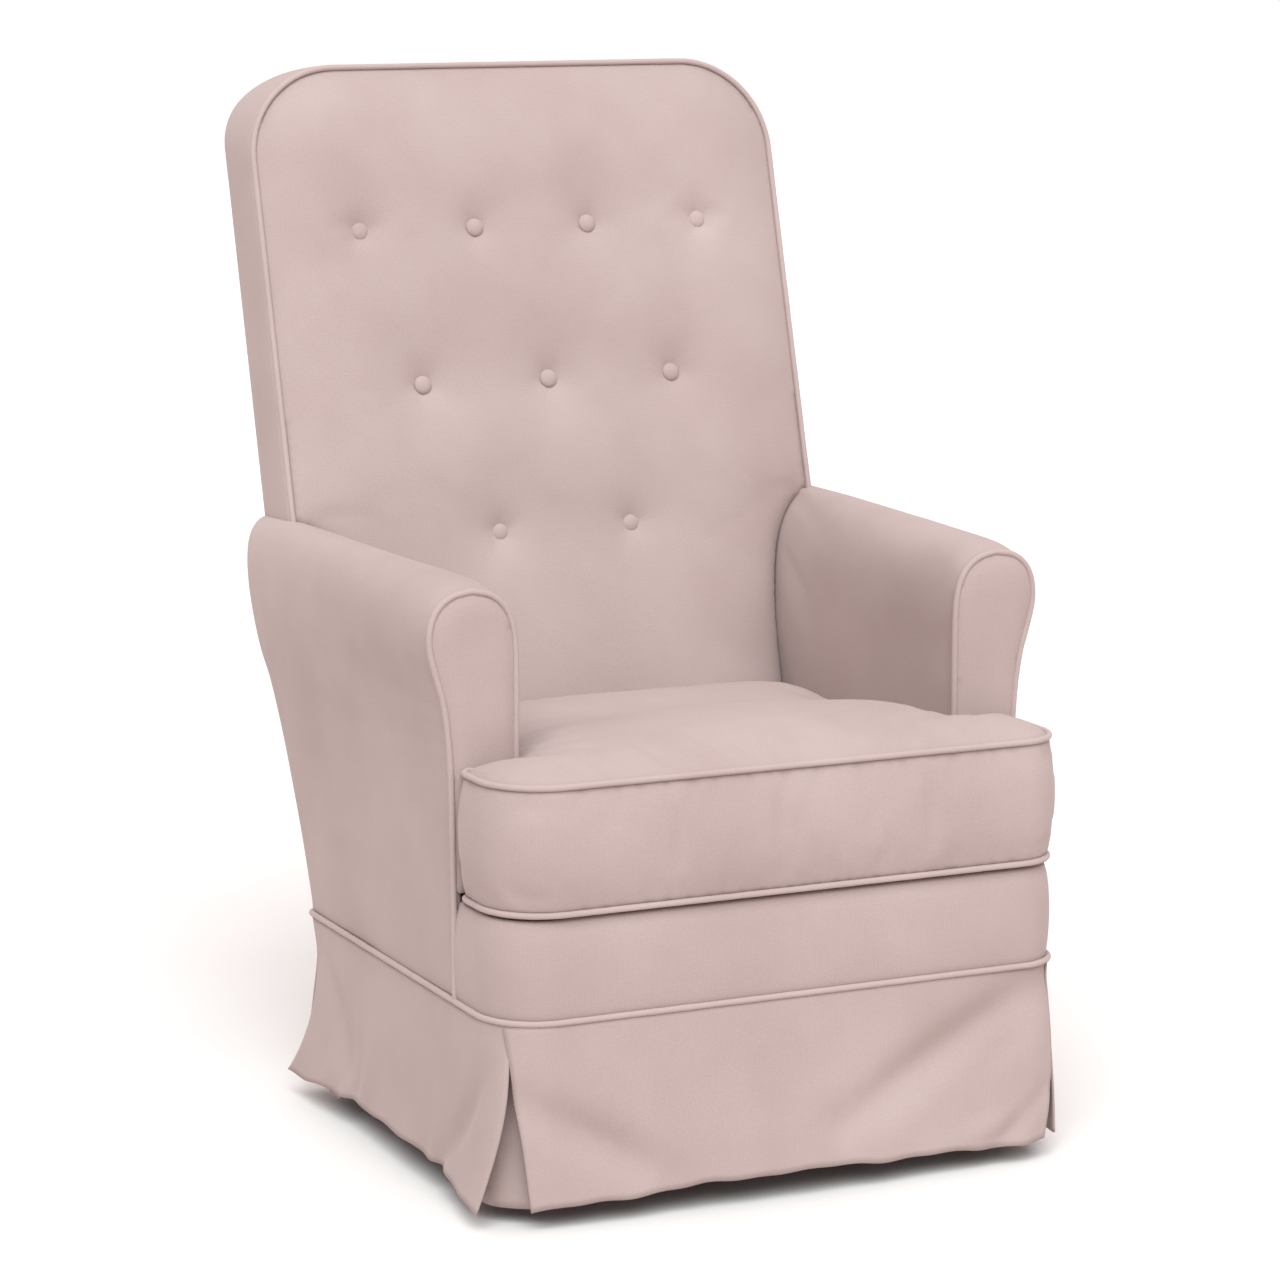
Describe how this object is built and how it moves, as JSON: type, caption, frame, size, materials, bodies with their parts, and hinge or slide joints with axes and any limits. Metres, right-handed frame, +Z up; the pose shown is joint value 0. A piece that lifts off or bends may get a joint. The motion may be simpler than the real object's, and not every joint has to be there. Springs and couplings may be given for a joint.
{
  "type": "glider nursery chair",
  "caption": "High-backed upholstered glider armchair with a button-tufted reclined back, rolled arms, a loose T cushion and a box-pleated skirt over a swivelling glider base.",
  "frame": {"origin": "on the floor, in the middle of the chair's width and depth", "axes": "+Z up, the chair faces -Y, +X is the sitter's left"},
  "size_m": [0.6894, 0.7882, 1.1137],
  "materials": {
    "rose_upholstery": "matte brushed weave, dusty rose",
    "deck_cloth": "plain matte lining cloth",
    "black_cambric": "non-woven dust cloth",
    "jute_webbing": "coarse plain-woven jute",
    "beech": "sawn and planed, unfinished",
    "spring_steel": "drawn and oil tempered",
    "black_enamelled_steel": "semi-gloss black enamel",
    "zinc_plated_steel": "bright zinc plate",
    "bearing_steel": "polished",
    "nylon": "moulded, natural white",
    "black_rubber": "moulded, matte"
  },
  "bodies": {
    "base": {"base_ring": "black_enamelled_steel", "base_cross": "black_enamelled_steel", "base_pads": "nylon", "bearing_lower_race": "zinc_plated_steel", "bearing_balls": "bearing_steel", "kingpin": "zinc_plated_steel", "kingpin_nut": "zinc_plated_steel"},
    "swivel": {"bearing_upper_race": "zinc_plated_steel", "turntable_plate": "black_enamelled_steel", "cradle_cross_front": "black_enamelled_steel", "cradle_cross_rear": "black_enamelled_steel", "cradle_uprights": "black_enamelled_steel", "upper_pivot_bolts": "zinc_plated_steel", "glide_stops": "black_rubber"},
    "front_links": {"front_link_left": "black_enamelled_steel", "front_link_right": "black_enamelled_steel", "front_link_bushes": "nylon"},
    "rear_links": {"rear_link_left": "black_enamelled_steel", "rear_link_right": "black_enamelled_steel", "rear_link_bushes": "nylon"},
    "seat": {"arm_facing_left": "rose_upholstery", "arm_facing_right": "rose_upholstery", "arm_frame_left": "beech", "arm_frame_right": "beech", "arm_pad_left": "rose_upholstery", "arm_pad_right": "rose_upholstery", "back_border": "rose_upholstery", "back_buttons": "rose_upholstery", "back_lumbar_rail": "beech", "back_pad": "rose_upholstery", "back_post_left": "beech", "back_post_right": "beech", "back_top_rail": "beech", "back_webbing": "jute_webbing", "body_piping": "rose_upholstery", "bracket_bolts": "zinc_plated_steel", "corner_blocks": "beech", "dust_cover": "black_cambric", "front_border": "rose_upholstery", "front_rail": "beech", "glide_bracket_left": "black_enamelled_steel", "glide_bracket_right": "black_enamelled_steel", "lower_pivot_bolts": "zinc_plated_steel", "outside_arm_left": "rose_upholstery", "outside_arm_right": "rose_upholstery", "outside_back_panel": "rose_upholstery", "rear_rail": "beech", "seat_deck": "deck_cloth", "seat_springs": "spring_steel", "side_rail_left": "beech", "side_rail_right": "beech", "skirt_front": "rose_upholstery", "skirt_left": "rose_upholstery", "skirt_pleats": "rose_upholstery", "skirt_rear": "rose_upholstery", "skirt_right": "rose_upholstery", "spring_clips": "spring_steel", "stop_pegs": "black_rubber"},
    "cushion": {"seat_cushion": "rose_upholstery"}
  },
  "joints": [
    {"name": "swivel_turn", "type": "hinge", "parent": "base", "child": "swivel", "pos_m": [0, -0.099, 0.05], "axis": [0, 0, 1], "continuous": true},
    {"name": "front_link_swing", "type": "hinge", "parent": "swivel", "child": "front_links", "pos_m": [0, -0.209, 0.165], "axis": [1, 0, 0], "range_deg": [-30, 30]},
    {"name": "rear_link_swing", "type": "hinge", "parent": "swivel", "child": "rear_links", "pos_m": [0, 0.011, 0.165], "axis": [1, 0, 0], "range_deg": [-30, 30]},
    {"name": "seat_level", "type": "hinge", "parent": "front_links", "child": "seat", "pos_m": [0, -0.209, 0.065], "axis": [1, 0, 0], "range_deg": [-30, 30]},
    {"name": "cushion_lift", "type": "slide", "parent": "seat", "child": "cushion", "axis": [0, 0, 1], "range_m": [0, 0.2]}
  ],
  "couplings": [
    {"joint": "rear_link_swing", "follows": "front_link_swing", "ratio": 1},
    {"joint": "seat_level", "follows": "front_link_swing", "ratio": -1}
  ]
}
